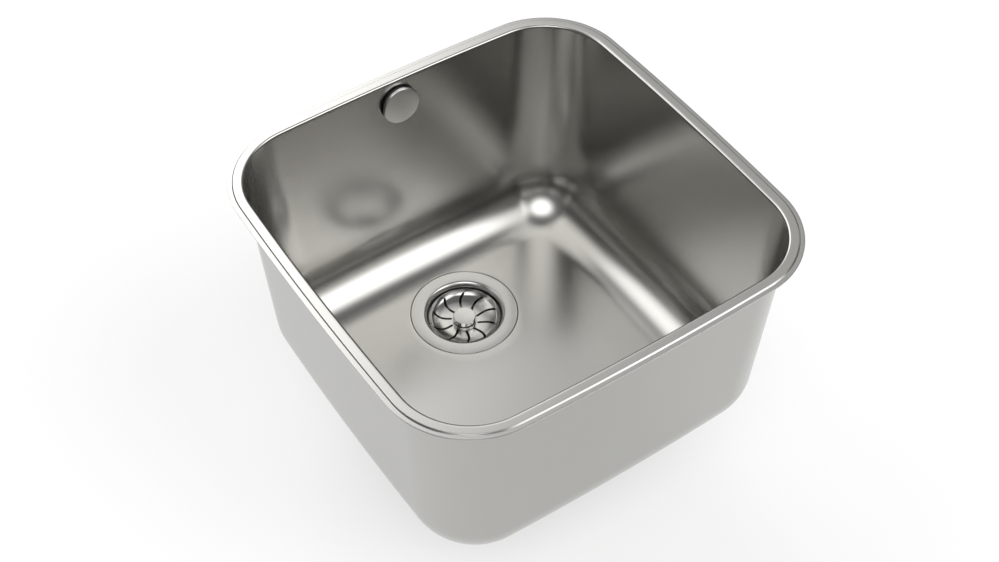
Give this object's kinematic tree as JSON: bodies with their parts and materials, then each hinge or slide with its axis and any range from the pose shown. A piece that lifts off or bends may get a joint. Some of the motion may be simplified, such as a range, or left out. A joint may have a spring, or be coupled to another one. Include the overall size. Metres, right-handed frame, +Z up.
{
  "type": "undermount kitchen sink",
  "caption": "Square stainless steel undermount kitchen sink bowl with rounded corners, a basket strainer waste in the floor and a capped overflow on the rear wall.",
  "frame": {"origin": "centre of the bowl's opening, in the plane of the rim's top face, which meets the underside of the worktop", "axes": "+Z up, square to the rim; +Y towards the wall that holds the overflow; +X to the right of it"},
  "size_m": [0.4398, 0.4551, 0.339],
  "materials": {
    "satin_steel": "satin, fine brushed",
    "pressed_steel": "satin, turned",
    "bright_steel": "bright, pressed",
    "knob_steel": "bright, turned",
    "cap_steel": "satin, turned",
    "spring_steel": "bright, stamped",
    "fastener_steel": "bright, turned",
    "insert_brass": "machined",
    "dark_plastic": "moulded, fine grain",
    "nut_plastic": "moulded, fine grain",
    "hose_plastic": "blow moulded, slight sheen",
    "seal_rubber": "moulded, matt",
    "pad_rubber": "sheet, matt"
  },
  "bodies": {
    "sink": {"bowl": "satin_steel", "damping_pad": "pad_rubber", "strainer_cup": "pressed_steel", "upper_gasket": "seal_rubber", "lower_gasket": "seal_rubber", "waste_body": "dark_plastic", "body_insert": "insert_brass", "centre_screw": "fastener_steel", "overflow_bridge": "dark_plastic", "overflow_screw": "fastener_steel", "overflow_gasket": "seal_rubber", "overflow_elbow": "dark_plastic", "overflow_hose": "hose_plastic", "hose_seal_top": "seal_rubber", "hose_seal_inlet": "seal_rubber", "hose_nut_top": "nut_plastic", "hose_nut_inlet": "nut_plastic"},
    "basket": {"basket_dish": "bright_steel", "knob_collar": "bright_steel", "basket_knob": "knob_steel", "basket_stem": "fastener_steel", "seal_carrier": "dark_plastic", "basket_seal": "seal_rubber", "stem_retainer": "fastener_steel", "detent_clip": "fastener_steel"},
    "cap": {"overflow_cap": "cap_steel", "cap_clip": "spring_steel"}
  },
  "joints": [
    {"name": "basket_lift", "type": "slide", "parent": "sink", "child": "basket", "axis": [0, 0, 1], "range_m": [0, 0.07]},
    {"name": "overflow_cap_pull", "type": "slide", "parent": "sink", "child": "cap", "axis": [0, -0.9988, 0.0494], "range_m": [0, 0.03]}
  ]
}
